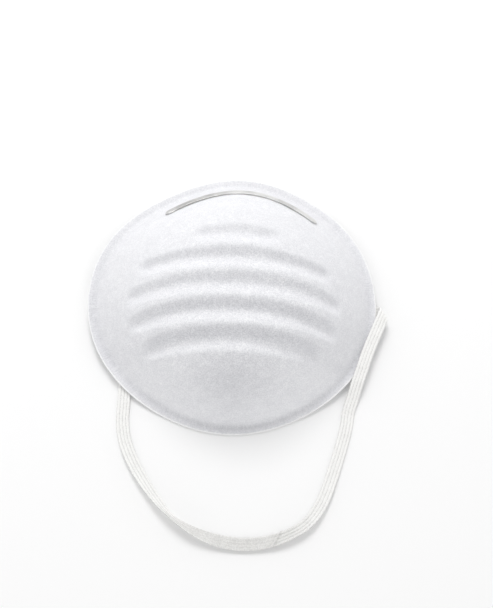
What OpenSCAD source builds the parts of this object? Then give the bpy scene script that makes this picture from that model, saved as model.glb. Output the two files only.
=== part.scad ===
// Moulded disposable dust mask: a ribbed non-woven cup in three bonded layers, an aluminium
// nose clip and one flat elastic headband. The mask lies rim down: +Z is out of the face,
// +Y is towards the nose and the headband loop lies in front of the chin (-Y).

/* [Mask outline] */
// Half width across the cheeks
half_w = 70; // [62:1:78]
// Length from the widest line to the nose edge
nose_len = 67; // [60:1:74]
// Length from the widest line to the chin edge
chin_len = 63; // [56:1:70]
// How much the nose end narrows
nose_taper = 0.14; // [0:0.02:0.25]
// How much the chin end narrows
chin_taper = 0.1; // [0:0.02:0.25]
// How far the nose end is moulded askew
nose_skew = 3; // [0:0.5:4]
// Width of the pressed flange
flange_w = 4.2; // [3.6:0.2:6]

/* [Cup] */
// Height of the cup above the flange
cup_h = 46; // [38:1:54]
// Fullness of the cup's side profile
fullness = 2.6; // [2:0.1:3.2]
// Place of the top of the cup, towards the chin
apex_y = -6; // [-10:1:0]
// Softness of the fold between cup and flange
fold_soft = 3; // [2:0.2:3.4]
// How far the cheek edges lift off the table
side_lift = 4; // [3.6:0.1:5]

/* [Ribs] */
// Place of the groove nearest the nose
groove_y = 23.5; // [22:0.5:26]
// Distance between grooves
groove_pitch = 12.4; // [11:0.1:13]
// Half width of a groove on the centre line
groove_half = 6.3; // [5:0.1:7]
// Depth of the grooves
groove_depth = 2.6; // [0.8:0.1:2.6]
// How far the groove ends curve towards the chin
groove_bow = 5; // [0:1:8]

/* [Layers] */
// Thickness of the outer cover
cover_t = 0.45; // [0.3:0.05:0.8]
// Thickness of the filter web
filter_t = 0.7; // [0.4:0.05:1.2]
// Thickness of the inner shell
shell_t = 0.55; // [0.3:0.05:0.8]
// Share of the thickness that is left where the flange is pressed
pressed = 0.55; // [0.45:0.05:0.6]

/* [Nose clip] */
// Length of the strip along its curve
clip_len = 76; // [68:1:90]
// Width of the strip
clip_w = 5; // [4:0.5:6]
// Thickness of the strip
clip_t = 0.7; // [0.5:0.1:1]
// Thickness of the glue under the strip
glue_t = 0.15; // [0.1:0.05:0.2]
// How far the strip sits off the centre line
clip_shift = 1; // [0:0.5:3]
// Height of the moulded step that makes a seat for the strip
seat_h = 0.6; // [0:0.1:0.8]

/* [Headband] */
// Width of the elastic
band_w = 6; // [5:0.5:7]
// Thickness of the elastic
band_t = 0.8; // [0.6:0.1:0.9]

/* [Hidden] */

sectors = 56;            // facets round the cup
cup_rings = 15;          // rings from the top of the cup to just above the nose clip
cup_last = 0.815;        // share of the radius at the last of those rings
// and at those from the clip's seat down to the flat flange
fold_rings = [0.835, 0.855, 0.875, 0.895, 0.915, 0.935, 0.952, 0.968, 0.985, 1.004, 1.026];
top_share = 0.03;        // the slope at the very top of the cup is measured over this share
share_step = 0.004;      // steps over which the slope is measured elsewhere
turn_step = 0.5;
press_from = 0.9;        // the layers get thinner from this share of the radius
press_over = 0.09;
layers_t = cover_t + filter_t + shell_t;
flange_t = layers_t * pressed;
middle_y = (nose_len - chin_len) / 2;    // brings the middle of the outline onto the origin
flat_half = 28;          // the flange is flat on the table up to this far from the centre line
groove_spans = [18, 43, 48, 46, 39];    // half length of each groove, from the nose down
groove_shares = [0.95, 1.1, 1.1, 1.25, 1.25];    // how deep each groove is, as a share of groove_depth
bow_at = 50;             // the grooves have dropped by groove_bow this far from the centre line
groove_end = 7;          // length over which a groove runs out
groove_narrowing = 0.2;  // share of its width that a groove has lost at its end
clip_at = 0.875;         // share of the radius at the clip's centre line
seat_half = 0.06;        // half width of the clip's seat, as a share of the radius
seat_end = 8;            // length over which the seat runs out past the clip's ends
clip_gap = 0.06;         // clear of the cover's facets
clip_steps = 32;

function smooth(u) = let (v = max(0, min(1, u))) v * v * (3 - 2 * v);
function unit(v) = v / norm(v);

// Edge of the flange at angle t, counted from +X, and the fold inside it
function edge_xy(t) =
    let (s = sin(t), taper = s > 0 ? nose_taper : chin_taper)
    [half_w * cos(t) * (1 - taper * pow(s, 4)) + nose_skew * pow(max(0, s), 2),
     (s > 0 ? nose_len : chin_len) * s];
function edge_share(t) = let (r = norm(edge_xy(t))) r / (r - flange_w);
function fold_xy(t) = edge_xy(t) / edge_share(t);

function lift(x) = side_lift * smooth((abs(x) - flat_half) / (half_w - flat_half));
// Soft corner between the rising wall and the flat flange
function soft_max(a) = a > fold_soft ? a : a < -fold_soft ? 0 : pow(a + fold_soft, 2) / (4 * fold_soft);
function groove(x, y, i) =
    let (half = groove_half * (1 - groove_narrowing * pow(x / groove_spans[i], 2)),
         d = (y - groove_y + i * groove_pitch + groove_bow * pow(x / bow_at, 2)) / half)
    abs(d) >= 1 ? 0
    : smooth((groove_spans[i] - abs(x)) / groove_end + 0.5) * groove_shares[i] * (1 + cos(180 * d)) / 2;
function grooves(x, y, i = 0) = i == len(groove_spans) ? 0 : groove(x, y, i) + grooves(x, y, i + 1);

// Step in the nose wall: higher below the clip's centre line, lower above it
function seat(x, y, g) =
    y < 0 || abs(g - clip_at) >= seat_half ? 0
    : seat_h * sin(180 * (g - clip_at) / seat_half)
      * smooth((clip_len / 2 + seat_end - abs(x - nose_skew - clip_shift)) / seat_end);

// Point on the outside of the mask at angle t and share g of the fold's radius
function skin(t, g) =
    let (p = g < 1 ? g * fold_xy(t) + [0, apex_y * (1 - g)] : g * fold_xy(t),
         z = flange_t + lift(p[0]) * pow(min(1, g), 2) + soft_max(cup_h * (1 - pow(g, fullness))))
    [p[0], p[1] - middle_y, z + seat(p[0], p[1], g) - groove_depth * grooves(p[0], p[1])];
function skin_normal(t, g) =
    g < top_share
    ? unit(cross(skin(0, top_share) - skin(180, top_share), skin(90, top_share) - skin(270, top_share)))
    : unit(cross(skin(t, g + share_step) - skin(t, g - share_step),
                 skin(t + turn_step, g) - skin(t - turn_step, g)));
// Share of the full thickness that is left at g
function press(g) = 1 - (1 - pressed) * smooth((g - press_from) / press_over);
// The same point moved in by depth, measured through the unpressed layers
function layer_point(t, g, depth) = skin(t, g) - skin_normal(t, g) * depth * press(g);

// Shares of the radius at the rings, with the last one on the flange's edge
function ring_share(k, t) =
    k < cup_rings ? cup_last * (k + 1) / cup_rings
    : k < ring_count - 1 ? fold_rings[k - cup_rings] : edge_share(t);
ring_count = cup_rings + len(fold_rings) + 1;

// One closed moulded layer between two depths under the outside
module layer(top, bottom) {
    step = 360 / sectors;
    function face_points(depth) =
        concat([layer_point(90, 0, depth)],
               [for (k = [0:ring_count - 1]) for (j = [0:sectors - 1])
                   layer_point(j * step, ring_share(k, j * step), depth)]);
    n = 1 + ring_count * sectors;
    function at(k, j) = 1 + k * sectors + j % sectors;
    outside = [for (j = [0:sectors - 1]) [0, at(0, j + 1), at(0, j)]];
    rings = [for (k = [0:ring_count - 2]) for (j = [0:sectors - 1])
                for (f = [[at(k, j), at(k, j + 1), at(k + 1, j + 1)],
                          [at(k, j), at(k + 1, j + 1), at(k + 1, j)]]) f];
    shown = concat(outside, rings);
    hidden = [for (f = shown) [f[2] + n, f[1] + n, f[0] + n]];
    last = ring_count - 1;
    rim = [for (j = [0:sectors - 1])
              for (f = [[at(last, j), at(last, j + 1), at(last, j + 1) + n],
                        [at(last, j), at(last, j + 1) + n, at(last, j) + n]]) f];
    polyhedron(concat(face_points(top), face_points(bottom)), concat(shown, hidden, rim), convexity = 6);
}

// Half length of the nose clip in degrees round the cup, from its length along the curve
clip_radius = norm(clip_at * fold_xy(90) - clip_at * fold_xy(60)) / (2 * sin(15));
clip_angle = clip_len / 2 / clip_radius * 180 / PI;

// Strip that follows the nose wall between two heights off the outside, with round ends
module nose_strip(low, high, width, length) {
    half = length / 2 - width / 2;
    slope = fullness * cup_h / norm(fold_xy(90));
    per_mm = 1 / (norm(fold_xy(90)) * sqrt(1 + slope * slope));
    function station(i) =
        let (u = -cos(180 * i / clip_steps)) u * length / 2;
    function half_width(s) =
        let (e = (abs(s) - half) / (width / 2)) e <= 0 ? width / 2 : width / 2 * sqrt(max(0.01, 1 - e * e));
    function row(s, height) =
        let (t = 90 - (s + clip_shift) / clip_radius * 180 / PI)
        [for (c = [-1, -0.5, 0, 0.5, 1])
            let (g = clip_at + c * half_width(s) * per_mm) skin(t, g) + skin_normal(t, g) * height];
    rows = [for (i = [0:clip_steps])
               let (under = row(station(i), low))
               concat(row(station(i), high), [for (k = [len(under) - 1:-1:0]) under[k]])];
    swept(rows);
}

// Closed solid through rings of points, all with the same count
module swept(rows) {
    m = len(rows[0]);
    last = len(rows) - 1;
    points = [for (r = rows) for (p = r) p];
    sides = [for (i = [0:last - 1]) for (k = [0:m - 1])
                let (a = i * m + k, b = i * m + (k + 1) % m)
                for (f = [[a, b, b + m], [a, b + m, a + m]]) f];
    ends = [[for (k = [m - 1:-1:0]) k], [for (k = [0:m - 1]) last * m + k]];
    polyhedron(points, concat(sides, ends), convexity = 8);
}

// Headband. Its route is a list of points [x, y, z, lean], where lean is the angle by which
// the ribbon's outer edge is raised. The two ends ride with the mask and the loop swings
// about the line y = hinge_y, z = hinge_z, where the elastic bends most easily.
hinge_y = -52;
hinge_z = 0.6;
hinge_gap = 0.8;
route_left = [[-66, 4, 3.2, 0], [-65, -7, 3.2, 0], [-61.5, -17, 3.0, 0], [-57, -27, 2.3, 0],
              [-52.5, -35.5, 1.4, 0], [-50, -43, 0.8, 0], [-49.8, hinge_y + hinge_gap, hinge_z, 0]];
route_right = [[66.5, -21.5, 5.4, 0], [63.2, -31, 5.2, 0], [60.8, -38.5, 4.3, 0],
               [59, -45.5, 1.6, 0], [57.4, hinge_y + hinge_gap, hinge_z, 0]];
route_loop = [[57, hinge_y - hinge_gap, hinge_z, 0], [55.5, -62, 0.5, 0], [50.5, -79, 0.7, 4],
              [45, -94, 1.3, 16], [38.5, -103.5, 2, 30], [30.5, -109, 2, 32], [20, -113, 1.4, 18],
              [8, -114.5, 1.1, 12], [-4, -113, 1.5, 22], [-15, -109, 2.6, 48],
              [-24, -103.5, 3, 66], [-32, -95.5, 2.5, 45], [-41, -83.5, 1.6, 22],
              [-47.5, -71, 0.8, 6], [-49.7, -61, 0.5, 0], [-49.8, hinge_y - hinge_gap, hinge_z, 0]];
// Diagonal fold where the right-hand end turns over the edge of the flange
crease = [72, -2.8, 3.2];    // where the ribbon's centre line meets the fold
crease_angle = -58.7;        // direction of the fold's axis
leaving_angle = -113;        // direction of the ribbon after the fold
crease_r = 1.15;             // the fold passes round the flange's edge
tail_len = 11;               // length of ribbon behind the flange

// Smooth curve through the route's points
function curve_at(p, i, u) =
    let (n = len(p) - 1,
         a = i > 0 ? p[i - 1] : 2 * p[0] - p[1], b = p[i], c = p[i + 1],
         d = i + 2 <= n ? p[i + 2] : 2 * p[n] - p[n - 1])
    0.5 * (2 * b + u * (c - a) + u * u * (2 * a - 5 * b + 4 * c - d) + u * u * u * (3 * b - a - 3 * c + d));
function curve(p, steps) =
    concat([for (i = [0:len(p) - 2]) for (s = [0:steps - 1]) curve_at(p, i, s / steps)], [p[len(p) - 1]]);

// Ring of a flat ribbon with thin edges. across is half the width as a vector
ribbon_corners = [[-1, 0.25], [-0.92, 1], [0.92, 1], [1, 0.25],
                  [1, -0.25], [0.92, -1], [-0.92, -1], [-1, -0.25]];
function ribbon_ring(centre, across, up) =
    [for (q = ribbon_corners) centre + q[0] * across + q[1] * band_t / 2 * up];
function place(q) = [q[0], q[1], q[2]];
function ribbon_rings(path) =
    [for (i = [0:len(path) - 1])
        let (ahead = unit(place(path[min(i + 1, len(path) - 1)]) - place(path[max(i - 1, 0)])),
             side = unit(cross([0, 0, 1], ahead)),
             flat_up = cross(ahead, side),
             lean = path[i][3],
             across = side * cos(lean) + flat_up * sin(lean))
        ribbon_ring(place(path[i]), across * band_w / 2, cross(ahead, across))];

// Rings of the diagonal fold: straight out, half a turn about the fold's axis, then away.
// The axis mirrors the ribbon's direction, and the ribbon creeps along it as it turns.
function heading(a) = [cos(a), sin(a), 0];
along = heading(crease_angle);
outward = heading(crease_angle + 90);
arriving = heading(2 * crease_angle - leaving_angle);
leaving = heading(leaving_angle);
creep = (arriving * along) / (arriving * outward) * crease_r * PI;
fold_end = crease + along * creep + [0, 0, 2 * crease_r];
square_off = 3.2;            // from the fold to the nearest ring that is square to the ribbon
function square_ring(centre, ahead, up) = ribbon_ring(centre, cross(up, ahead) * band_w / 2, up);
function bend_centre(a) =
    crease + outward * crease_r * sin(a) + along * creep * a / 180 + [0, 0, crease_r * (1 - cos(a))];
function bend_ring(a) =
    let (across = -along * band_w / 2 / (arriving * outward))
    ribbon_ring(bend_centre(a), across, [0, 0, cos(a)] - outward * sin(a));
tail_rings = [for (u = [tail_len, square_off]) square_ring(crease - arriving * u, arriving, [0, 0, 1])];
crease_rings = concat(tail_rings, [for (a = [0:30:180]) bend_ring(a)]);
over_route = concat([concat(fold_end + leaving * square_off, [0])], route_right);
// The ribbon is upside down after the fold, so its rings start from the other corner
function turned(ring) = [for (k = [0:len(ring) - 1]) ring[(k + 4) % len(ring)]];
right_rings = concat(crease_rings, [for (r = ribbon_rings(curve(over_route, 3))) turned(r)]);

// Two dots of hot-melt glue between the ribbon and the back of the flange
dot_t = 0.14;
dot_gap = 0.04;              // clear of the ribbon's curve
left_dots = [[-66, -3.5], [-66.2, 1]];
right_dots = [[67.4, -3.9], [67.4, -0.9]];
module glue_dots(spots, r) {
    for (s = spots)
        translate([s[0], s[1], crease[2] + band_t / 2 + dot_gap]) cylinder(r = r, h = dot_t, $fn = 32);
}

module cover_colour() color([0.93, 0.93, 0.95]) children();
module elastic_colour() color([0.91, 0.91, 0.88]) children();
module glue_colour() color([0.95, 0.93, 0.85]) children();

module outer_cover() cover_colour() layer(0, cover_t);
module filter_web() color([0.97, 0.97, 0.98]) layer(cover_t, cover_t + filter_t);
module inner_shell() color([0.9, 0.9, 0.93]) layer(cover_t + filter_t, layers_t);

module nose_clip() color([0.8, 0.8, 0.79])
    nose_strip(clip_gap + glue_t, clip_gap + glue_t + clip_t, clip_w, clip_len);
module nose_clip_glue() glue_colour()
    nose_strip(clip_gap, glue_t, clip_w - 1, clip_len - 4);

module headband_end_left() elastic_colour() swept(ribbon_rings(curve(route_left, 3)));
module headband_end_right() elastic_colour() swept(right_rings);
module headband_loop() elastic_colour() swept(ribbon_rings(curve(route_loop, 4)));
module headband_glue_left() glue_colour() glue_dots(left_dots, 1.6);
module headband_glue_right() glue_colour() glue_dots(right_dots, 1.3);

outer_cover();
filter_web();
inner_shell();
nose_clip();
nose_clip_glue();
headband_end_left();
headband_end_right();
headband_loop();
headband_glue_left();
headband_glue_right();
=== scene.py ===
import math

import bpy
import numpy as np
from mathutils import Matrix, Vector


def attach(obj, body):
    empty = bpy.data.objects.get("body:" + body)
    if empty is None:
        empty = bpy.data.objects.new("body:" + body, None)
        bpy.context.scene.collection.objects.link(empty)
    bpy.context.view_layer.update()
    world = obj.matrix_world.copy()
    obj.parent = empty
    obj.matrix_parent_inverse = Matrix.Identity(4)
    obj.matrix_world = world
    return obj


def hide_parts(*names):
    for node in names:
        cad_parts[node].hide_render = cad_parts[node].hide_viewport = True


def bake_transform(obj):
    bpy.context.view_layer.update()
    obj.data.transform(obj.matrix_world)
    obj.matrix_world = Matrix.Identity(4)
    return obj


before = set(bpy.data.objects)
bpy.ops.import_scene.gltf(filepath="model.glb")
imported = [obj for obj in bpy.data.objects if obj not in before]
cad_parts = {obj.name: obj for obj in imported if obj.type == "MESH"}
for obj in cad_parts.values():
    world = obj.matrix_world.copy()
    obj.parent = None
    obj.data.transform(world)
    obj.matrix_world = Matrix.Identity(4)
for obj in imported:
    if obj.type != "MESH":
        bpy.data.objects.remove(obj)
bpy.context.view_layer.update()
scene = bpy.context.scene

MM = 0.001

# ---------------------------------------------------------------- driving dimensions, mm
# These repeat the CAD model's own, so that each piece lies where its CAD node does.
HALF_W, NOSE_LEN, CHIN_LEN = 70.0, 67.0, 63.0
NOSE_TAPER, CHIN_TAPER, NOSE_SKEW = 0.14, 0.10, 3.0
FLANGE_W = 4.2
CUP_H, FULLNESS, APEX_Y, FOLD_SOFT = 46.0, 2.6, -6.0, 3.0
SIDE_LIFT, FLAT_HALF = 4.0, 28.0
GROOVE_Y, GROOVE_PITCH, GROOVE_HALF, GROOVE_DEPTH = 23.5, 12.4, 6.3, 2.6
GROOVE_BOW, BOW_AT = 5.0, 50.0
GROOVE_SPANS = (18.0, 43.0, 48.0, 46.0, 39.0)
GROOVE_SHARES = (0.95, 1.1, 1.1, 1.25, 1.25)
# share of painted shade and painted light on the walls of each groove
GROOVE_SHADE_SHARES = (0.0, 0.35, 0.25, 0.7, 1.0)
GROOVE_END, GROOVE_NARROWING = 7.0, 0.2
COVER_T, FILTER_T, SHELL_T, PRESSED = 0.45, 0.7, 0.55, 0.55
LAYERS_T = COVER_T + FILTER_T + SHELL_T
FLANGE_T = LAYERS_T * PRESSED
MIDDLE_Y = (NOSE_LEN - CHIN_LEN) / 2
CLIP_LEN, CLIP_W, CLIP_T, CLIP_SHIFT, CLIP_AT = 76.0, 5.0, 0.7, 1.0, 0.875
GLUE_T, CLIP_GAP = 0.15, 0.06
SEAT_H, SEAT_HALF, SEAT_END = 0.6, 0.06, 8.0
BAND_W, BAND_T = 6.0, 0.8

# Route of the elastic, mm: x, y, z and the lean that raises the ribbon's outer edge, degrees
HINGE_Y, HINGE_Z, HINGE_GAP = -52.0, 0.6, 0.8
ROUTE_LEFT = [(-66, 4, 3.2, 0), (-65, -7, 3.2, 0), (-61.5, -17, 3.0, 0), (-57, -27, 2.3, 0),
              (-52.5, -35.5, 1.4, 0), (-50, -43, 0.8, 0), (-49.8, HINGE_Y + HINGE_GAP, HINGE_Z, 0)]
ROUTE_RIGHT = [(66.5, -21.5, 5.4, 0), (63.2, -31, 5.2, 0), (60.8, -38.5, 4.3, 0),
               (59, -45.5, 1.6, 0), (57.4, HINGE_Y + HINGE_GAP, HINGE_Z, 0)]
ROUTE_LOOP = [(57, HINGE_Y - HINGE_GAP, HINGE_Z, 0), (55.5, -62, 0.5, 0), (50.5, -79, 0.7, 4),
              (45, -94, 1.3, 16), (38.5, -103.5, 2, 30), (30.5, -109, 2, 32), (20, -113, 1.4, 18),
              (8, -114.5, 1.1, 12), (-4, -113, 1.5, 22), (-15, -109, 2.6, 48),
              (-24, -103.5, 3, 66), (-32, -95.5, 2.5, 45), (-41, -83.5, 1.6, 22),
              (-47.5, -71, 0.8, 6), (-49.7, -61, 0.5, 0), (-49.8, HINGE_Y - HINGE_GAP, HINGE_Z, 0)]
CREASE, CREASE_ANGLE, LEAVING_ANGLE, CREASE_R = (72.0, -2.8, 3.2), -58.7, -113.0, 1.15
TAIL_LEN, SQUARE_OFF = 11.0, 3.2
WAIST, PINCH, CUPPING = (-19.0, -106.0), (24.0, -112.0), 0.7
DOT_T, DOT_GAP = 0.14, 0.04
LEFT_DOTS, LEFT_DOT_R = [(-66, -3.5), (-66.2, 1)], 1.6
RIGHT_DOTS, RIGHT_DOT_R = [(67.4, -3.9), (67.4, -0.9)], 1.3


# ---------------------------------------------------------------- camera
def add_camera():
    """Looks down on the cup from the chin side, a little from the left and rolled a little."""
    elevation, turn, roll = math.radians(74.0), math.radians(2.5), math.radians(2.5)
    distance, aside = 0.437, 0.0066
    aim = Vector((0.0, -0.002, 0.005))
    away = Vector((0, -math.cos(elevation), math.sin(elevation)))
    right = Vector((1, 0, 0))
    up = away.cross(right)
    away, right = (away * math.cos(turn) - right * math.sin(turn),
                   right * math.cos(turn) + away * math.sin(turn))
    right_rolled = right * math.cos(roll) + up * math.sin(roll)
    up_rolled = up * math.cos(roll) - right * math.sin(roll)
    data = bpy.data.cameras.new("camera")
    data.sensor_width = 36.0
    data.lens = 53.29
    data.clip_start = 0.01
    camera = bpy.data.objects.new("camera", data)
    scene.collection.objects.link(camera)
    axes = Matrix((right_rolled, up_rolled, away)).transposed().to_4x4()
    camera.matrix_world = Matrix.Translation(aim + right_rolled * aside + away * distance) @ axes
    scene.camera = camera


add_camera()


# ---------------------------------------------------------------- shape of the cup
def smooth(u):
    """Eased step from 0 to 1 as u goes from 0 to 1."""
    v = np.clip(u, 0, 1)
    return v * v * (3 - 2 * v)


def edge_xy(t):
    """Edge of the flange at angle t, radians, counted from +X."""
    s = np.sin(t)
    taper = np.where(s > 0, NOSE_TAPER, CHIN_TAPER)
    length = np.where(s > 0, NOSE_LEN, CHIN_LEN)
    skew = NOSE_SKEW * np.maximum(s, 0) ** 2
    return HALF_W * np.cos(t) * (1 - taper * s ** 4) + skew, length * s


def edge_share(t):
    """Radius of the edge as a share of the fold's radius."""
    x, y = edge_xy(t)
    r = np.hypot(x, y)
    return r / (r - FLANGE_W)


def fold_xy(t):
    """Fold between cup and flange, a flange's width inside the edge."""
    x, y = edge_xy(t)
    share = edge_share(t)
    return x / share, y / share


def soft_max(a):
    """The larger of a and 0, with a round blend between the two."""
    blend = (a + FOLD_SOFT) ** 2 / (4 * FOLD_SOFT)
    return np.where(a > FOLD_SOFT, a, np.where(a < -FOLD_SOFT, 0.0, blend))


def groove_place(x, y, i):
    """Distance across groove i as a share of its half width, and how fully the groove is there."""
    span = GROOVE_SPANS[i]
    half = GROOVE_HALF * (1 - GROOVE_NARROWING * np.minimum(np.abs(x) / span, 1.2) ** 2)
    d = (y - GROOVE_Y + i * GROOVE_PITCH + GROOVE_BOW * (x / BOW_AT) ** 2) / half
    return d, np.where(np.abs(d) < 1, smooth((span - np.abs(x)) / GROOVE_END + 0.5), 0.0)


def grooves(x, y):
    total = np.zeros_like(x)
    for i, share in enumerate(GROOVE_SHARES):
        d, there = groove_place(x, y, i)
        total += there * share * (1 + np.cos(np.pi * d)) / 2
    return total


def groove_wall_shading(x, y):
    """Painted shade, above 0 on the nose-side wall of a groove, and painted light, below 0 on the other
    wall.
    """
    lit_side_share, reach = 0.4, 60
    total = np.zeros_like(x)
    for i, share in enumerate(GROOVE_SHADE_SHARES):
        d, there = groove_place(x, y, i)
        wave = np.sin(np.pi * d)
        total += there * share * np.where(wave > 0, wave, lit_side_share * wave) * (1 - (x / reach) ** 2)
    return total


def seat(x, y, g):
    """Step in the nose wall that the clip sits on: higher below its centre line, lower above it."""
    d = np.clip((g - CLIP_AT) / SEAT_HALF, -1, 1)
    ends = smooth((CLIP_LEN / 2 + SEAT_END - np.abs(x - NOSE_SKEW - CLIP_SHIFT)) / SEAT_END)
    return np.where(y < 0, 0.0, SEAT_H * np.sin(np.pi * d) * ends)


def skin(t, g):
    """Point on the outside at angle t and share g of the fold's radius, mm."""
    fx, fy = fold_xy(t)
    x = g * fx
    y = g * fy + np.where(g < 1, APEX_Y * (1 - g), 0.0)
    lift = SIDE_LIFT * smooth((np.abs(x) - FLAT_HALF) / (HALF_W - FLAT_HALF)) * np.minimum(1, g) ** 2
    z = FLANGE_T + lift + soft_max(CUP_H * (1 - g ** FULLNESS)) + seat(x, y, g)
    return np.stack([x, y - MIDDLE_Y, z - GROOVE_DEPTH * grooves(x, y)], -1)


def unit(v):
    return v / np.maximum(np.linalg.norm(v, axis=-1, keepdims=True), 1e-12)


def skin_normal(t, g):
    g_safe = np.maximum(g, 0.012)
    along = skin(t, g_safe + 0.004) - skin(t, g_safe - 0.004)
    round_it = skin(t + 0.008, g_safe) - skin(t - 0.008, g_safe)
    return unit(np.cross(along, round_it))


def press(g):
    """Share of the full thickness that is left at g."""
    return 1 - (1 - PRESSED) * smooth((g - 0.9) / 0.09)


# ---------------------------------------------------------------- small helpers
def make_object(name, points_mm, faces):
    """Mesh object with smooth shading, from points in mm."""
    mesh = bpy.data.meshes.new(name)
    mesh.from_pydata((np.asarray(points_mm) * MM).tolist(), [], faces)
    mesh.validate()
    mesh.update()
    mesh.polygons.foreach_set("use_smooth", [True] * len(mesh.polygons))
    obj = bpy.data.objects.new(name, mesh)
    scene.collection.objects.link(obj)
    return obj


def add_point_attribute(obj, name, values):
    attribute = obj.data.attributes.new(name, "FLOAT", "POINT")
    attribute.data.foreach_set("value", np.asarray(values, np.float32))


def value_noise(points, cell, seed):
    """Smooth noise between -1 and 1 with one random value per cell of that size."""
    table = np.random.default_rng(seed).uniform(-1, 1, 4096)
    p = points / cell
    base = np.floor(p).astype(np.int64)
    f = smooth(p - base)
    total = 0
    for corner in range(8):
        bit = np.array([(corner >> k) & 1 for k in range(3)])
        cellid = base + bit
        h = (cellid[..., 0] * 73856093 ^ cellid[..., 1] * 19349663 ^ cellid[..., 2] * 83492791) & 4095
        w = np.prod(np.where(bit, f, 1 - f), -1)
        total = total + w * table[h]
    return total


# ---------------------------------------------------------------- moulded layers
def layer_mesh(name, top, bottom, sectors, rings, relief):
    """One closed moulded layer between two depths under the outside."""
    fold_from, fold_to, fold_rings, flange_rings = 0.95, 1.02, 10, 8
    t = np.arange(sectors) * 2 * np.pi / sectors
    inner = np.linspace(0, fold_from, rings + 1)[1:]
    fold = np.linspace(fold_from, fold_to, fold_rings + 1)[1:]
    outer = np.linspace(0, 1, flange_rings + 1)[1:]
    g = np.concatenate([np.repeat(inner[:, None], sectors, 1),
                        np.repeat(fold[:, None], sectors, 1),
                        fold_to + outer[:, None] * (edge_share(t)[None, :] - fold_to)])
    tt = np.repeat(t[None, :], g.shape[0], 0)
    base = skin(tt, g)
    normal = skin_normal(tt, g)
    thick = press(g)[..., None]
    crown = skin(np.array([np.pi / 2]), np.array([0.0]))
    crown_normal = np.array([[0.0, 0.0, 1.0]])
    hidden_share = 0.35  # how much of the outer relief its hidden side repeats
    bump = relief(base, tt, g)[..., None] if relief else 0.0
    crown_bump = relief(crown, np.array([0.0]), np.array([0.0]))[..., None] if relief else 0.0
    up = base + normal * (bump - top * thick)
    down = base + normal * (bump * hidden_share - bottom * thick)
    rows = g.shape[0]
    crown_up = crown + crown_normal * (crown_bump - top)
    crown_down = crown + crown_normal * (crown_bump * hidden_share - bottom)
    points = np.concatenate([crown_up, up.reshape(-1, 3), crown_down, down.reshape(-1, 3)])
    n = 1 + rows * sectors
    k, j = np.meshgrid(np.arange(rows - 1), np.arange(sectors), indexing="ij")
    j1 = (j + 1) % sectors
    a, b = 1 + k * sectors + j, 1 + k * sectors + j1
    c, d = 1 + (k + 1) * sectors + j1, 1 + (k + 1) * sectors + j
    quads = np.stack([a, d, c, b], -1).reshape(-1, 4)
    faces = [(0, 1 + i, 1 + (i + 1) % sectors) for i in range(sectors)]
    faces += quads.tolist()
    faces += [(n, n + 1 + (i + 1) % sectors, n + 1 + i) for i in range(sectors)]
    faces += (quads[:, ::-1] + n).tolist()
    rim = 1 + (rows - 1) * sectors + np.arange(sectors)
    rim_next = np.roll(rim, -1)
    faces += np.stack([rim, rim + n, rim_next + n, rim_next], -1).tolist()
    obj = make_object(name, points, faces)
    # what the material needs to know: the fold, the ribs, the chin's tone, painted light on the pressed
    # edge, painted shade and light on the grooves
    fold_line = np.exp(-((g - 1.012) / np.where(g > 1.012, 0.032, 0.018)) ** 2)
    x, y = base[..., 0], base[..., 1] + MIDDLE_Y
    # painted light on the nose-side flange, and a painted highlight on the cut edge in the last two rows
    painted_rim_light = 0.3 * smooth(y / 40) * smooth((g - 0.98) / 0.03)
    painted_rim_light[-2:] = np.array([[0.7], [1.0]])
    # darker in a patch in the middle of the chin, lighter low on the chin's sides
    chin_tone = 1.5 * np.exp(-(x / 25) ** 2 - ((y + 42) / 9) ** 2)
    chin_tone -= 0.9 * smooth((-30 - y) / 8) * smooth(np.abs(x) / 25)
    # painted shade on the nose-side wall of each groove, painted light on the other wall
    painted_groove_shade = groove_wall_shading(x, y)
    middle = GROOVE_Y - GROOVE_PITCH * (len(GROOVE_SPANS) - 1) / 2
    ribbed = smooth(1.8 - np.hypot(x / 30, (y - middle + 8) / 25))
    for label, values in (("fold_line", fold_line), ("painted_rim_light", painted_rim_light), ("ribbed", ribbed),
                          ("chin_tone", chin_tone), ("painted_groove_shade", painted_groove_shade)):
        one_side = np.concatenate([values.reshape(-1)[:1], values.reshape(-1)])
        add_point_attribute(obj, label, np.concatenate([one_side, one_side]))
    return obj


def cover_relief(base, t, g):
    """Small unevenness of the moulded cover: felted lumps, and creases across the pressed flange."""
    lumps = 0.10 * value_noise(base, 9.0, 1) + 0.045 * value_noise(base, 3.1, 2)
    lumps = lumps + 0.03 * value_noise(base, 1.3, 3)
    flange = smooth((g - 0.985) / 0.02)
    fold = np.exp(-((g - 1.0) / 0.018) ** 2)
    round_it = np.stack([t * 65 / 0.9, g * 6, 0 * g], -1)
    creases = 0.07 * value_noise(round_it, 1.0, 4) + 0.05 * value_noise(round_it * 2.2, 1.0, 5)
    return lumps * (1 - 0.8 * flange) + creases * (0.45 * flange + 0.9 * fold)


outer = layer_mesh("outer_cover_cloth", 0.0, COVER_T, 560, 210, cover_relief)
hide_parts("outer_cover")
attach(outer, "mask")

web = layer_mesh("filter_web_cloth", COVER_T + 0.05, COVER_T + FILTER_T - 0.05, 180, 70, None)
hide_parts("filter_web")
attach(web, "mask")

shell = layer_mesh("inner_shell_cloth", COVER_T + FILTER_T, LAYERS_T, 360, 140, None)
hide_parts("inner_shell")
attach(shell, "mask")


# ---------------------------------------------------------------- nose clip
def fold_point(t):
    """One point of the fold, as an array."""
    return np.array([*fold_xy(np.float64(t))], float)


CLIP_CHORD = np.linalg.norm(CLIP_AT * (fold_point(np.pi / 2) - fold_point(np.pi / 3)))
CLIP_RADIUS = CLIP_CHORD / (2 * math.sin(math.radians(15)))


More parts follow.
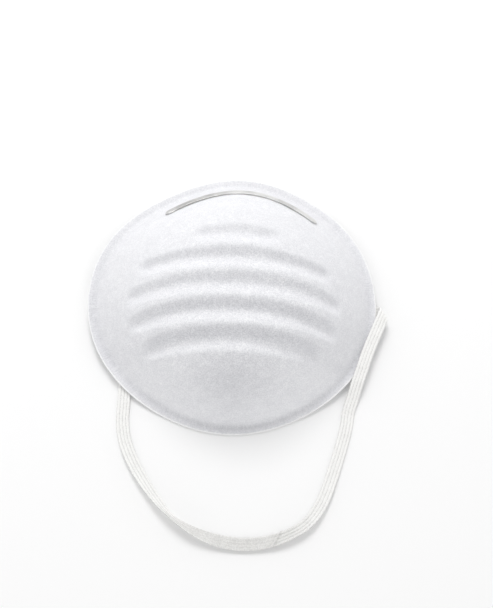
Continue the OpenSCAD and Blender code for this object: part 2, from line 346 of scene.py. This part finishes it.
def nose_strip(name, low, high, width, length, stations, across, corner, crown, unevenness):
    """Strip on the nose wall between two heights off the outside, with round ends and eased edges."""
    half = length / 2 - width / 2
    fold_r = np.linalg.norm(fold_point(np.pi / 2))
    slope = FULLNESS * CUP_H / fold_r
    per_mm = 1 / (fold_r * math.sqrt(1 + slope * slope))
    s = -np.cos(np.linspace(0, np.pi, stations)) * length / 2
    e = np.clip((np.abs(s) - half) / (width / 2), 0, 1)
    half_width = width / 2 * np.sqrt(np.maximum(0.004, 1 - e * e))
    end_thin = np.sqrt(np.maximum(0.05, 1 - e ** 6))
    mid, thick = (low + high) / 2, (high - low) / 2
    t = np.pi / 2 - (s + CLIP_SHIFT) / CLIP_RADIUS
    wave = value_noise(np.stack([s, 0 * s, 0 * s], -1), 11.0, 6) * unevenness
    rows = []
    for k in range(across):
        a = 2 * np.pi * k / across
        c = math.copysign(abs(math.cos(a)) ** corner, math.cos(a))
        h = math.copysign(abs(math.sin(a)) ** corner, math.sin(a))
        g = CLIP_AT + c * half_width * per_mm
        height = mid + h * thick * end_thin
        if h > 0:
            height = height - crown * c * c + wave * c * h
        rows.append(skin(t, g) + skin_normal(t, g) * height[:, None])
    points = np.stack(rows, 1).reshape(-1, 3)
    m = across
    faces = []
    for i in range(stations - 1):
        for k in range(m):
            a, b = i * m + k, i * m + (k + 1) % m
            faces.append((a, b, b + m, a + m))
    faces.append(tuple(range(m - 1, -1, -1)))
    faces.append(tuple((stations - 1) * m + k for k in range(m)))
    return make_object(name, points, faces)


clip = nose_strip("nose_clip_strip", CLIP_GAP + GLUE_T, CLIP_GAP + GLUE_T + CLIP_T, CLIP_W, CLIP_LEN,
                  200, 44, 0.3, 0.12, 0.04)
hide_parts("nose_clip")
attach(clip, "mask")

bead = nose_strip("nose_clip_glue_bead", CLIP_GAP * 0.2, CLIP_GAP + GLUE_T, CLIP_W - 0.6, CLIP_LEN - 2,
                  120, 16, 0.6, 0.0, 0.0)
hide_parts("nose_clip_glue")
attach(bead, "mask")


# ---------------------------------------------------------------- headband
def catmull(points, steps):
    """Smooth curve through the points, with that many steps between two of them."""
    p = np.array(points, float)
    n = len(p) - 1
    out = []
    for i in range(n):
        a = p[i - 1] if i > 0 else 2 * p[0] - p[1]
        b, c = p[i], p[i + 1]
        d = p[i + 2] if i + 2 <= n else 2 * p[n] - p[n - 1]
        for k in range(steps):
            u = k / steps
            out.append(0.5 * (2 * b + u * (c - a) + u * u * (2 * a - 5 * b + 4 * c - d)
                              + u ** 3 * (3 * b - a - 3 * c + d)))
    out.append(p[n])
    return np.array(out)


def heading(degrees):
    """Unit vector in the table's plane, at that angle from +X."""
    a = math.radians(degrees)
    return np.array([math.cos(a), math.sin(a), 0.0])


UP = np.array([0.0, 0.0, 1.0])


def band_frames():
    """Centre, half-width vector and normal along the whole elastic, from its left end to its right."""
    crease = np.array(CREASE)
    along, outward = heading(CREASE_ANGLE), heading(CREASE_ANGLE + 90)
    arriving, leaving = heading(2 * CREASE_ANGLE - LEAVING_ANGLE), heading(LEAVING_ANGLE)
    facing = float(arriving @ outward)
    creep = float(arriving @ along) / facing * CREASE_R * math.pi
    fold_end = crease + along * creep + np.array([0, 0, 2 * CREASE_R])
    over = [tuple(fold_end + leaving * SQUARE_OFF) + (0,)] + ROUTE_RIGHT
    left_hinge = (ROUTE_LEFT[-1][0], HINGE_Y, HINGE_Z, 0)
    right_hinge = (ROUTE_RIGHT[-1][0] - 0.2, HINGE_Y, HINGE_Z, 0)
    run = ROUTE_LEFT[:-1] + [left_hinge] + ROUTE_LOOP[-2:0:-1] + [right_hinge] + over[-2::-1]
    path = catmull(run, 12)
    centre = path[:, :3]
    lean = np.radians(path[:, 3])
    ahead = unit(np.gradient(centre, axis=0))
    side = unit(np.cross(UP, ahead))
    flat_up = np.cross(ahead, side)
    across = side * np.cos(lean)[:, None] - flat_up * np.sin(lean)[:, None]
    normal = np.cross(ahead, across)
    centres, halves, normals = list(centre), list(across * BAND_W / 2), list(normal)
    # the ribbon reaches the fold from its far side here, so the fold is walked backwards
    for a in np.linspace(180, 0, 25):
        r = math.radians(a)
        centres.append(crease + outward * CREASE_R * math.sin(r) + along * creep * a / 180
                       + UP * CREASE_R * (1 - math.cos(r)))
        halves.append(-along * BAND_W / 2 / facing)
        normals.append(-(UP * math.cos(r) - outward * math.sin(r)))
    for u in np.linspace(SQUARE_OFF, TAIL_LEN, 12):
        centres.append(crease - arriving * u)
        halves.append(np.cross(UP, arriving) * BAND_W / 2)
        normals.append(-UP)
    return np.array(centres), np.array(halves), np.array(normals)


def resample(centres, halves, normals, spacing):
    """The same ribbon at even steps of its length."""
    step = np.linalg.norm(np.diff(centres, axis=0), axis=1)
    s = np.concatenate([[0], np.cumsum(step)])
    n = int(s[-1] / spacing) + 1
    q = np.linspace(0, s[-1], n)

    def pick(v):
        return np.stack([np.interp(q, s, v[:, k]) for k in range(3)], -1)

    return q, pick(centres), pick(halves), unit(pick(normals))


def band_mesh():
    """One ribbon of four ribs with a braided face, small loops along its edges and one pinched crease."""
    spacing, columns, ribs, rib_h = 0.3, 41, 4, 0.17
    stitch_h, stitch_pitch, picot_pitch = 0.035, 0.9, 1.8
    q, centre, half, normal = resample(*band_frames(), spacing)
    c = np.linspace(-1, 1, columns)
    profile = BAND_T / 2 * np.clip((1 - np.abs(c) ** 8), 0, 1) ** 0.5
    edge = smooth((1 - np.abs(c)) / 0.16)
    rib = rib_h * np.abs(np.sin(np.pi * (c + 1) * ribs / 2)) ** 0.6 * edge
    chevron = np.abs(((c + 1) * ribs / 2) % 1 - 0.5)
    smooth_from, pinch_at = (q[np.argmin(np.linalg.norm(centre[:, :2] - np.array(spot), axis=1))]
                             for spot in (WAIST, PINCH))
    rows, faded, shaded = [], [], []
    for i, s in enumerate(q):
        stitch = stitch_h * np.sin(2 * np.pi * (s / stitch_pitch + chevron * 1.2)) * edge
        picot = 1 + 0.025 * math.sin(2 * math.pi * s / picot_pitch)
        steep = abs(half[i][2]) / (BAND_W / 2)
        off = s - pinch_at - 3.0 * c
        pinch = 0.75 * np.exp(-(off / 0.45) ** 2) - 0.25 * np.exp(-((np.abs(off) - 1.3) / 0.5) ** 2)
        bow = pinch - CUPPING * steep * (1 - c * c)
        p = centre[i] + np.outer(c * picot, half[i]) + np.outer(bow, normal[i])
        turned = float(smooth((s - smooth_from) / 10 + 0.5) * smooth((pinch_at - s) / 3 + 0.5))
        faded.append(1 - 0.75 * turned)
        # painted shade on the other face where the ribbon turns over, held lighter along both edges as a
        # painted highlight
        shade = smooth((s - smooth_from + 8 - 9 * c) / 14 + 0.5)
        shade = shade * smooth((pinch_at + 17 - s) / 30 + 0.5)
        shade = shade * (0.3 + 0.7 * smooth((1 - np.abs(c)) / 0.22))
        shaded.append(np.concatenate([shade, shade[::-1][1:-1]]))
        skin_height = profile - 0.12 + rib * faded[-1] + stitch + 0.08 * turned * edge
        top = p + np.outer(skin_height, normal[i])
        bottom = p - np.outer(skin_height, normal[i])
        rows.append(np.concatenate([top, bottom[::-1][1:-1]]))
    m = len(rows[0])
    points = np.concatenate(rows)
    faces = []
    for i in range(len(rows) - 1):
        for k in range(m):
            a, b = i * m + k, i * m + (k + 1) % m
            faces.append((a, a + m, b + m, b))
    faces.append(tuple(range(m)))
    faces.append(tuple((len(rows) - 1) * m + k for k in range(m - 1, -1, -1)))
    obj = make_object("headband_elastic", points, faces)
    around = np.concatenate([c, c[::-1][1:-1]])
    add_point_attribute(obj, "band_x", np.tile(around, len(rows)))
    add_point_attribute(obj, "band_s", np.repeat(q, m))
    add_point_attribute(obj, "ribs_show", np.repeat(faded, m))
    add_point_attribute(obj, "other_face_shade", np.concatenate(shaded))
    return obj, centre, q[-1]


band, band_path, band_length = band_mesh()
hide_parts("headband_end_left", "headband_loop", "headband_end_right")
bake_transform(band)


# ---------------------------------------------------------------- glue behind the flange
def glue_drops(name, node, spots, radius, seed):
    """Drops of hot-melt glue pressed flat between the ribbon and the back of the flange."""
    low = CREASE[2] + BAND_T / 2 + DOT_GAP
    around, levels = 40, 7
    order = np.random.default_rng(seed)
    points, faces = [], []
    for x, y in spots:
        first = len(points)
        lobes = order.uniform(-0.05, 0.05, 4)
        for k in range(levels + 1):
            a = math.pi * k / levels - math.pi / 2
            out = 0.78 + 0.2 * math.cos(a)
            for j in range(around):
                b = 2 * math.pi * j / around
                r = radius * out * (1 + lobes[0] * math.sin(2 * b) + lobes[1] * math.cos(3 * b)) / 1.1
                height = low + DOT_T * (1 + math.sin(a)) / 2
                points.append((x + r * math.cos(b), y + r * math.sin(b), height))
        for k in range(levels):
            for j in range(around):
                a, b = first + k * around + j, first + k * around + (j + 1) % around
                faces.append((a, b, b + around, a + around))
        faces.append(tuple(first + j for j in range(around - 1, -1, -1)))
        faces.append(tuple(first + levels * around + j for j in range(around)))
    drops = make_object(name, points, faces)
    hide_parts(node)
    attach(drops, "mask")
    return drops


drops_left = glue_drops("glue_drops_left", "headband_glue_left", LEFT_DOTS, LEFT_DOT_R, 41)
drops_right = glue_drops("glue_drops_right", "headband_glue_right", RIGHT_DOTS, RIGHT_DOT_R, 42)


# ---------------------------------------------------------------- materials
def new_material(name):
    material = bpy.data.materials.new(name)
    material.use_nodes = True
    nodes, links = material.node_tree.nodes, material.node_tree.links
    nodes.clear()
    out = nodes.new("ShaderNodeOutputMaterial")
    shader = nodes.new("ShaderNodeBsdfPrincipled")
    links.new(shader.outputs["BSDF"], out.inputs["Surface"])
    return material, nodes, links, shader


def math_node(nodes, links, operation, *values):
    node = nodes.new("ShaderNodeMath")
    node.operation = operation
    for socket, value in zip(node.inputs, values):
        if isinstance(value, (int, float)):
            socket.default_value = value
        else:
            links.new(value, socket)
    return node.outputs["Value"]


def noise(nodes, links, coordinates, scale, detail, roughness=0.5):
    node = nodes.new("ShaderNodeTexNoise")
    node.inputs["Scale"].default_value = scale
    node.inputs["Detail"].default_value = detail
    node.inputs["Roughness"].default_value = roughness
    links.new(coordinates, node.inputs["Vector"])
    return node.outputs["Fac"]


def stretched(nodes, links, coordinates, turn, length, width):
    """Coordinates in which one unit is long in one direction and narrow in the other two, metres."""
    rotate = nodes.new("ShaderNodeMapping")
    rotate.inputs["Rotation"].default_value = turn
    stretch = nodes.new("ShaderNodeMapping")
    stretch.inputs["Scale"].default_value = (1 / length, 1 / width, 1 / width)
    links.new(coordinates, rotate.inputs["Vector"])
    links.new(rotate.outputs["Vector"], stretch.inputs["Vector"])
    return stretch.outputs["Vector"]


def fibres(nodes, links, coordinates, count, length, width, seed):
    """Thin bent lines lying in several directions, 0 between them and up to 1 on them."""
    order = np.random.default_rng(seed)
    total = None
    for _ in range(count):
        turn = tuple(order.uniform(0, math.pi, 3))
        field = noise(nodes, links, stretched(nodes, links, coordinates, turn, length, width), 1.0, 1.0)
        off = math_node(nodes, links, "ABSOLUTE", math_node(nodes, links, "SUBTRACT", field, 0.5))
        line = math_node(nodes, links, "SUBTRACT", 1.0, math_node(nodes, links, "MULTIPLY", off, 22.0))
        line = math_node(nodes, links, "MAXIMUM", line, 0.0)
        total = line if total is None else math_node(nodes, links, "MAXIMUM", total, line)
    broken = noise(nodes, links, coordinates, 420.0, 1.0)
    broken = math_node(nodes, links, "MULTIPLY", math_node(nodes, links, "SUBTRACT", broken, 0.42), 4.0)
    broken = math_node(nodes, links, "MINIMUM", math_node(nodes, links, "MAXIMUM", broken, 0.0), 1.0)
    return math_node(nodes, links, "MULTIPLY", total, broken)


def ramp(nodes, links, source, stops):
    node = nodes.new("ShaderNodeValToRGB")
    elements = node.color_ramp.elements
    while len(elements) < len(stops):
        elements.new(0.5)
    for element, (at, colour) in zip(elements, stops):
        element.position = at
        element.color = (*colour, 1.0)
    links.new(source, node.inputs["Fac"])
    return node.outputs["Color"]


def bump(nodes, links, height, distance, strength, before=None):
    node = nodes.new("ShaderNodeBump")
    node.inputs["Distance"].default_value = distance
    node.inputs["Strength"].default_value = strength
    links.new(height, node.inputs["Height"])
    if before is not None:
        links.new(before, node.inputs["Normal"])
    return node.outputs["Normal"]


def attribute(nodes, name):
    node = nodes.new("ShaderNodeAttribute")
    node.attribute_name = name
    return node.outputs["Fac"]


def radial_marks(nodes, links, coordinates):
    """Short streaks that point away from the middle of the mask, as pressed felt has at a fold."""
    split = nodes.new("ShaderNodeSeparateXYZ")
    flat = nodes.new("ShaderNodeCombineXYZ")
    direction = nodes.new("ShaderNodeVectorMath")
    direction.operation = "NORMALIZE"
    links.new(coordinates, split.inputs["Vector"])
    links.new(split.outputs["X"], flat.inputs["X"])
    links.new(split.outputs["Y"], flat.inputs["Y"])
    links.new(flat.outputs["Vector"], direction.inputs[0])
    return noise(nodes, links, direction.outputs["Vector"], 95.0, 2.0, 0.7)


def nonwoven(name, light, dark, sheen, seed):
    material, nodes, links, shader = new_material(name)
    coordinates = nodes.new("ShaderNodeTexCoord").outputs["Object"]
    grain = noise(nodes, links, coordinates, 1700.0, 2.0, 0.65)
    clouds = noise(nodes, links, coordinates, 160.0, 3.0)
    lines = fibres(nodes, links, coordinates, 4, 0.0034, 0.0011, seed)
    fold = attribute(nodes, "fold_line")
    # radial pressed marks along the fold, darker on average: the marks plus painted shade in the crease
    fold_marks_and_shade = radial_marks(nodes, links, coordinates)
    fold_marks_and_shade = math_node(nodes, links, "MULTIPLY_ADD", fold_marks_and_shade, 1.8, -0.45)
    fold_marks_and_shade = math_node(nodes, links, "MULTIPLY", fold, fold_marks_and_shade)
    ribbed = attribute(nodes, "ribbed")
    teased = math_node(nodes, links, "MULTIPLY_ADD", ribbed, 0.55, 0.85)
    felt = math_node(nodes, links, "SUBTRACT", grain, 0.5)
    felt = math_node(nodes, links, "MULTIPLY_ADD", lines, 0.16, felt)
    felt = math_node(nodes, links, "MULTIPLY", felt, teased)
    tone = math_node(nodes, links, "MULTIPLY_ADD", clouds, 0.2, math_node(nodes, links, "ADD", felt, 0.4))
    # darker in a patch in the middle of the chin, lighter low on its sides
    tone = math_node(nodes, links, "MULTIPLY_ADD", attribute(nodes, "chin_tone"), -0.12, tone)
    # painted shade and painted light on the groove walls
    tone = math_node(nodes, links, "MULTIPLY_ADD", attribute(nodes, "painted_groove_shade"), -0.24, tone)
    # painted shade in the fold crease, streaked by the radial pressed marks
    tone = math_node(nodes, links, "MULTIPLY_ADD", fold_marks_and_shade, -0.3, tone)
    # painted highlight on the cut edge and painted light on the nose-side flange
    tone = math_node(nodes, links, "MULTIPLY_ADD", attribute(nodes, "painted_rim_light"), 0.5, tone)
    links.new(ramp(nodes, links, tone, [(0.1, dark), (0.62, light), (1.0, (0.96, 0.96, 0.965))]),
              shader.inputs["Base Color"])
    fine = bump(nodes, links, felt, 0.0001, 0.9)
    links.new(bump(nodes, links, clouds, 0.0004, 0.5, fine), shader.inputs["Normal"])
    shader.inputs["Roughness"].default_value = 0.9
    shader.inputs["Specular IOR Level"].default_value = 0.2
    shader.inputs["Sheen Weight"].default_value = sheen
    shader.inputs["Sheen Roughness"].default_value = 0.5
    return material


def aluminium():
    material, nodes, links, shader = new_material("rolled_aluminium")
    coordinates = nodes.new("ShaderNodeTexCoord").outputs["Object"]
    brush = noise(nodes, links, stretched(nodes, links, coordinates, (0, 0, 0), 0.008, 0.0004), 1.0, 3.0)
    patches = noise(nodes, links, coordinates, 85.0, 1.0)
    mixed = math_node(nodes, links, "MULTIPLY", patches, 1.2)
    mixed = math_node(nodes, links, "MULTIPLY_ADD", brush, 0.4, mixed)
    tone = ramp(nodes, links, mixed, [(0.62, (0.46, 0.46, 0.455)), (0.92, (0.72, 0.72, 0.71))])
    links.new(tone, shader.inputs["Base Color"])
    rough = ramp(nodes, links, brush, [(0.3, (0.28,) * 3), (0.7, (0.42,) * 3)])
    links.new(rough, shader.inputs["Roughness"])
    links.new(bump(nodes, links, brush, 0.00003, 0.5), shader.inputs["Normal"])
    shader.inputs["Metallic"].default_value = 1.0
    return material


def elastic():
    material, nodes, links, shader = new_material("braided_elastic")
    across, along = attribute(nodes, "band_x"), attribute(nodes, "band_s")
    ribs = math_node(nodes, links, "SINE", math_node(nodes, links, "MULTIPLY", across, 2 * math.pi))
    ribs = math_node(nodes, links, "ABSOLUTE", ribs)
    ribs = math_node(nodes, links, "POWER", ribs, 0.45)
    place = nodes.new("ShaderNodeCombineXYZ")
    links.new(math_node(nodes, links, "MULTIPLY", across, 6.0), place.inputs["X"])
    links.new(math_node(nodes, links, "MULTIPLY", along, 1.4), place.inputs["Y"])
    loops = nodes.new("ShaderNodeTexVoronoi")
    loops.inputs["Scale"].default_value = 1.0
    loops.inputs["Randomness"].default_value = 0.55
    links.new(place.outputs["Vector"], loops.inputs["Vector"])
    coordinates = nodes.new("ShaderNodeTexCoord").outputs["Object"]
    wear = noise(nodes, links, coordinates, 240.0, 3.0)
    tone = math_node(nodes, links, "MULTIPLY_ADD", loops.outputs["Distance"], -0.6, 0.54)
    show = attribute(nodes, "ribs_show")
    # painted shade in the grooves between the ribs, lighter on their crests, faded where ribs_show is low
    ribs = math_node(nodes, links, "MULTIPLY", math_node(nodes, links, "SUBTRACT", ribs, 0.8), show)
    tone = math_node(nodes, links, "MULTIPLY_ADD", ribs, 0.6, math_node(nodes, links, "ADD", tone, 0.3))
    tone = math_node(nodes, links, "MULTIPLY_ADD", wear, 0.3, tone)
    # painted shade where the ribbon's other face turns up, lighter along its edges as a painted highlight
    tone = math_node(nodes, links, "MULTIPLY_ADD", attribute(nodes, "other_face_shade"), -0.39, tone)
    colour = ramp(nodes, links, tone, [(0.1, (0.62, 0.615, 0.6)), (0.8, (0.95, 0.947, 0.93))])
    links.new(colour, shader.inputs["Base Color"])
    links.new(bump(nodes, links, loops.outputs["Distance"], -0.0002, 0.9), shader.inputs["Normal"])
    shader.inputs["Roughness"].default_value = 0.75
    shader.inputs["Specular IOR Level"].default_value = 0.3
    shader.inputs["Sheen Weight"].default_value = 0.15
    return material


def hot_melt():
    material, nodes, links, shader = new_material("hot_melt_glue")
    coordinates = nodes.new("ShaderNodeTexCoord").outputs["Object"]
    clouds = noise(nodes, links, coordinates, 900.0, 2.0)
    links.new(ramp(nodes, links, clouds, [(0.3, (0.78, 0.74, 0.62)), (0.7, (0.88, 0.85, 0.76))]),
              shader.inputs["Base Color"])
    links.new(bump(nodes, links, clouds, 0.0001, 0.3), shader.inputs["Normal"])
    shader.inputs["Roughness"].default_value = 0.35
    shader.inputs["Subsurface Weight"].default_value = 0.2
    shader.inputs["Subsurface Scale"].default_value = 0.001
    return material


def dress(obj, material):
    obj.data.materials.clear()
    obj.data.materials.append(material)


dress(outer, nonwoven("outer_nonwoven_cloth", (0.79, 0.792, 0.815), (0.575, 0.577, 0.605), 0.1, 11))
dress(web, nonwoven("filter_web_cloth", (0.90, 0.90, 0.91), (0.74, 0.74, 0.76), 0.1, 12))
dress(shell, nonwoven("inner_nonwoven_cloth", (0.86, 0.86, 0.885), (0.66, 0.66, 0.69), 0.1, 13))
dress(clip, aluminium())
glue = hot_melt()
for piece in (bead, drops_left, drops_right):
    dress(piece, glue)
dress(band, elastic())


# ---------------------------------------------------------------- floor and light
def add_floor():
    """Round sheet of pale paper, which ends before the lamps' light does."""
    mesh = bpy.data.meshes.new("floor")
    radius, corners = 1.2, 96
    turns = np.linspace(0, 2 * math.pi, corners, endpoint=False)
    edge = [(radius * math.cos(t), radius * math.sin(t), 0) for t in turns]
    mesh.from_pydata(edge, [], [tuple(range(corners))])
    floor = bpy.data.objects.new("floor", mesh)
    scene.collection.objects.link(floor)
    material, nodes, links, shader = new_material("floor_paper")
    shader.inputs["Base Color"].default_value = (0.955, 0.955, 0.955, 1)
    shader.inputs["Roughness"].default_value = 0.9
    shader.inputs["Specular IOR Level"].default_value = 0.1
    dress(floor, material)
    floor.location.z = -0.0002


def add_area_light(name, place, aim, size, power):
    data = bpy.data.lights.new(name, "AREA")
    data.size = size
    data.energy = power
    light = bpy.data.objects.new(name, data)
    light.location = place
    light.rotation_euler = (Vector(place) - Vector(aim)).to_track_quat("Z", "Y").to_euler()
    scene.collection.objects.link(light)


add_floor()
add_area_light("key_light", (-0.12, 0.59, 0.77), (0, 0, 0.02), 0.4, 4.6)
add_area_light("fill_light", (0, -0.95, 0.4), (0, 0, 0.02), 1.2, 1.3)


def add_surround():
    """White studio walls: brighter towards the horizon than overhead."""
    world = bpy.data.worlds.new("world")
    scene.world = world
    world.use_nodes = True
    nodes, links = world.node_tree.nodes, world.node_tree.links
    background = nodes["Background"]
    split = nodes.new("ShaderNodeSeparateXYZ")
    links.new(nodes.new("ShaderNodeTexCoord").outputs["Generated"], split.inputs["Vector"])
    wall, ceiling = (1.0, 1.0, 1.0), (0.42, 0.42, 0.42)
    shade = ramp(nodes, links, split.outputs["Z"], [(0.0, wall), (0.85, ceiling)])
    links.new(shade, background.inputs["Color"])
    background.inputs["Strength"].default_value = 1.22


add_surround()
scene.view_settings.view_transform = "Standard"
